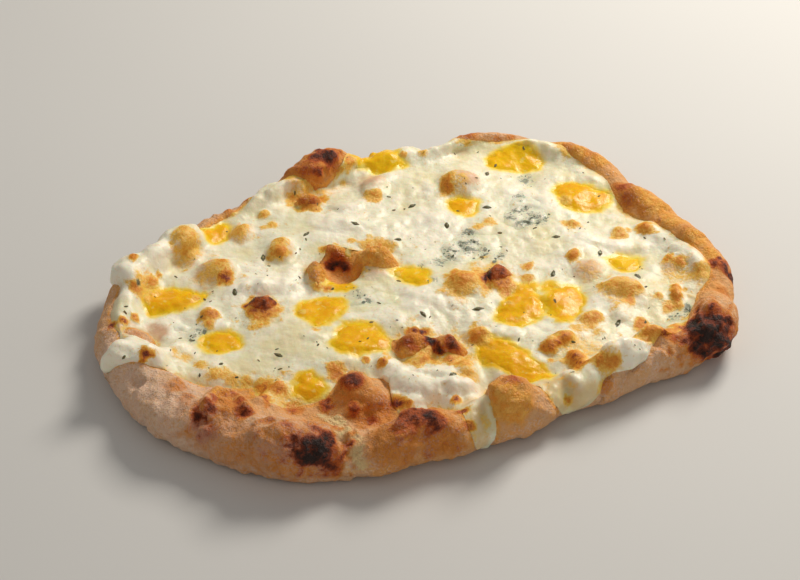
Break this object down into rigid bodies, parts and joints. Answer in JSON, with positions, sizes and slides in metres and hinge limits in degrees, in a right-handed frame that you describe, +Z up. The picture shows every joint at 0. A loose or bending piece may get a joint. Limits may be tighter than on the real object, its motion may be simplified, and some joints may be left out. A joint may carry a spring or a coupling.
{
  "type": "four cheese pizza",
  "caption": "Whole hand-stretched oval pizza with a puffed, toasted rim, melted white cheese, pools of yellow cheese and lumps of blue cheese.",
  "frame": {"origin": "on the table, under the middle of the outline's bounding box", "axes": "+X along the length, to the right of the pictured side; +Y away from that side; +Z up out of the topping"},
  "size_m": [0.3236, 0.2654, 0.0331],
  "materials": {
    "crust": "baked dough, matt, toasted and floured",
    "white_cheese": "melted white cheese, oily sheen",
    "yellow_cheese": "melted yellow cheese, glossy",
    "blue_cheese": "melted blue cheese, satin with dark veins"
  },
  "bodies": {
    "root": {"crust": "crust", "white_cheese": "white_cheese", "yellow_cheese_01": "yellow_cheese", "yellow_cheese_02": "yellow_cheese", "yellow_cheese_03": "yellow_cheese", "yellow_cheese_04": "yellow_cheese", "yellow_cheese_05": "yellow_cheese", "yellow_cheese_06": "yellow_cheese", "yellow_cheese_07": "yellow_cheese", "yellow_cheese_08": "yellow_cheese", "yellow_cheese_09": "yellow_cheese", "yellow_cheese_10": "yellow_cheese", "yellow_cheese_11": "yellow_cheese", "yellow_cheese_12": "yellow_cheese", "yellow_cheese_13": "yellow_cheese", "yellow_cheese_14": "yellow_cheese", "yellow_cheese_15": "yellow_cheese", "yellow_cheese_16": "yellow_cheese", "blue_cheese_01": "blue_cheese", "blue_cheese_02": "blue_cheese", "blue_cheese_03": "blue_cheese", "blue_cheese_04": "blue_cheese", "blue_cheese_05": "blue_cheese"}
  },
  "joints": []
}
